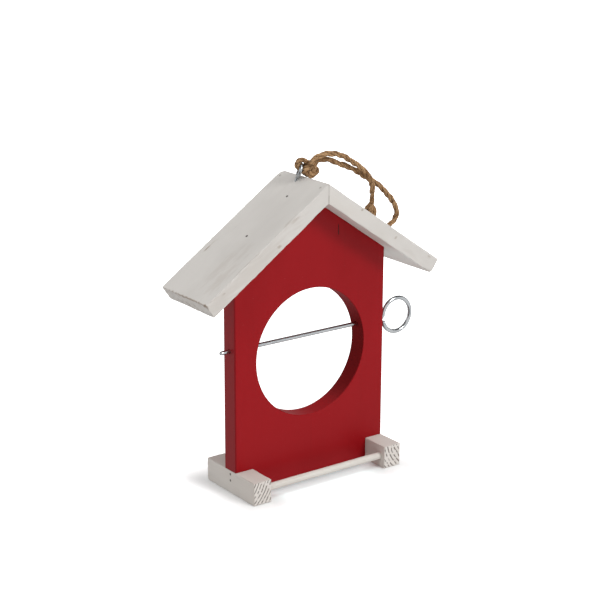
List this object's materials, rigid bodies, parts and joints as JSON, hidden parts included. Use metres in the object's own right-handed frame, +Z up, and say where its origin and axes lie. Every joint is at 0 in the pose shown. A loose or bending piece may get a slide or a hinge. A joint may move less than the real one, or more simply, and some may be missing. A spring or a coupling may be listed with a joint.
{
  "type": "fruit bird feeder",
  "caption": "House-shaped hanging fruit feeder: red board with a round apple hole, sliding wire skewer with ring handle, pitched roof, feet, perches and rope loop.",
  "frame": {"origin": "middle of the footprint on the ground, under the middle of the house board", "axes": "+X to the right seen from the front, towards the ring handle; +Y to the back; +Z up. The front perch and the house board face -Y"},
  "size_m": [0.23, 0.068, 0.2721],
  "materials": {
    "red_wood": "satin red paint on planed pine",
    "white_wood": "thin matt white wash on sawn pine",
    "foot_wood": "matt white wash, growth rings on the end grain",
    "perch_wood": "matt white wash on a turned dowel",
    "zinc_wire": "bright zinc plate",
    "jute": "three-strand jute rope",
    "nail_steel": "dull steel"
  },
  "bodies": {
    "house": {"house_board": "red_wood", "roof_board_left": "white_wood", "roof_board_right": "white_wood", "foot_left": "foot_wood", "foot_right": "foot_wood", "perch_front": "perch_wood", "perch_rear": "perch_wood", "screw_eye": "zinc_wire", "roof_nails_left": "nail_steel", "roof_nails_right": "nail_steel", "ridge_nails": "nail_steel", "foot_nails_left": "nail_steel", "foot_nails_right": "nail_steel"},
    "skewer": {"skewer": "zinc_wire"},
    "rope_loop": {"hanging_rope": "jute", "rope_eye_knot": "jute", "rope_end_knot": "jute"}
  },
  "joints": [
    {"name": "skewer_slide", "type": "slide", "parent": "house", "child": "skewer", "axis": [1, 0, 0], "range_m": [-0.003, 0.165]},
    {"name": "rope_swing", "type": "hinge", "parent": "house", "child": "rope_loop", "pos_m": [-0.00116, 0.00507, 0.2621], "axis": [-0.5, -0.866, 0], "range_deg": [0, 110]}
  ]
}
